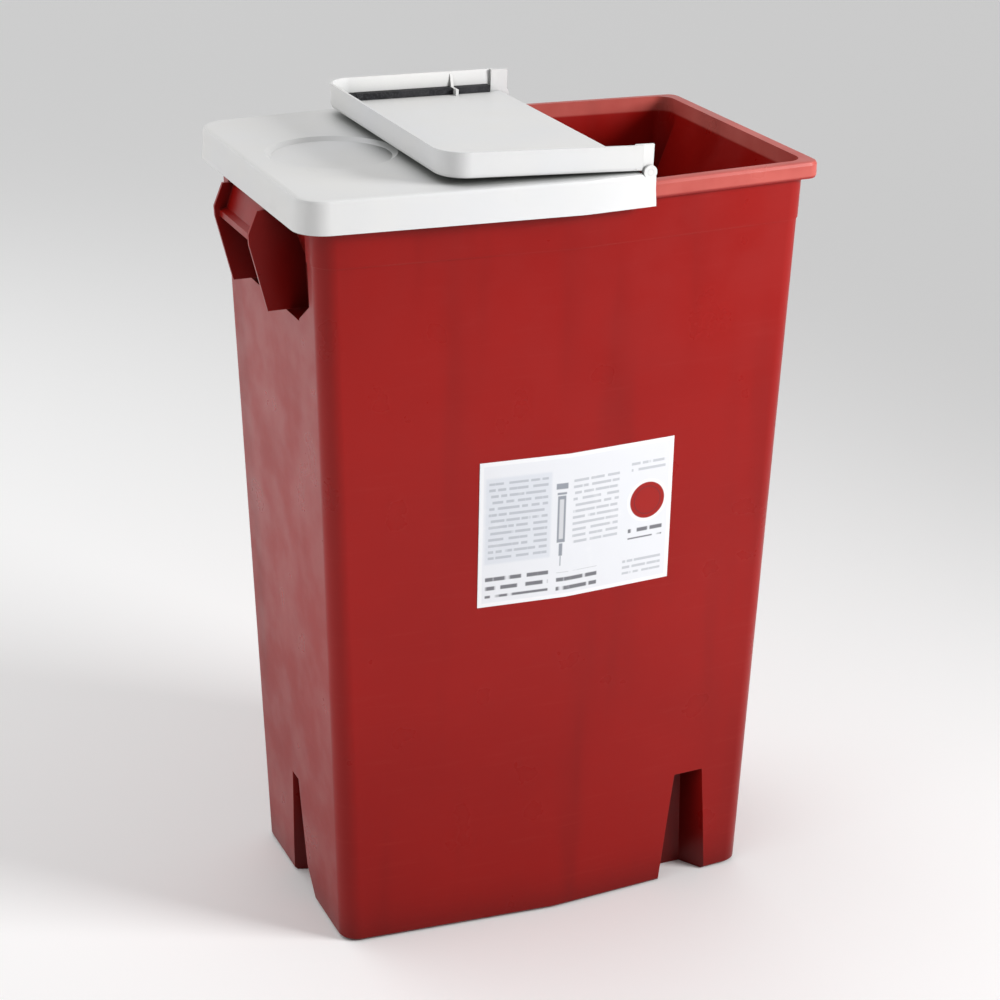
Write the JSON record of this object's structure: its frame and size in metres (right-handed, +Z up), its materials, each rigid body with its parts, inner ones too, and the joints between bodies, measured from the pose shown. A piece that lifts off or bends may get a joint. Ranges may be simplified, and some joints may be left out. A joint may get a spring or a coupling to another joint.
{
  "type": "sharps container",
  "caption": "Tall tapered red waste bin for sharps with end handles, foot notches, a fixed half lid and a hinged flap folded back on it.",
  "frame": {"origin": "centre of the base, on the surface it stands on", "axes": "+Z up; -Y is the labelled front; the fixed lid is at -X and the open mouth at +X"},
  "size_m": [0.4712, 0.3072, 0.6818],
  "materials": {
    "red_plastic": "semi-gloss moulded polypropylene",
    "white_plastic": "satin moulded polypropylene",
    "gasket_foam": "matt closed-cell foam",
    "label_paper": "printed film label"
  },
  "bodies": {
    "root": {"container_body": "red_plastic", "fixed_lid": "white_plastic", "lid_gasket": "gasket_foam", "front_label": "label_paper"},
    "flap": {"hinged_flap": "white_plastic", "flap_gasket_end": "gasket_foam", "flap_gasket_front_inner": "gasket_foam", "flap_gasket_front_outer": "gasket_foam", "flap_gasket_rear_inner": "gasket_foam", "flap_gasket_rear_outer": "gasket_foam"}
  },
  "joints": [
    {"name": "flap_hinge", "type": "hinge", "parent": "root", "child": "flap", "pos_m": [0.0555, 0, 0.6553], "axis": [0, 1, 0], "range_deg": [0, 178.2]}
  ]
}
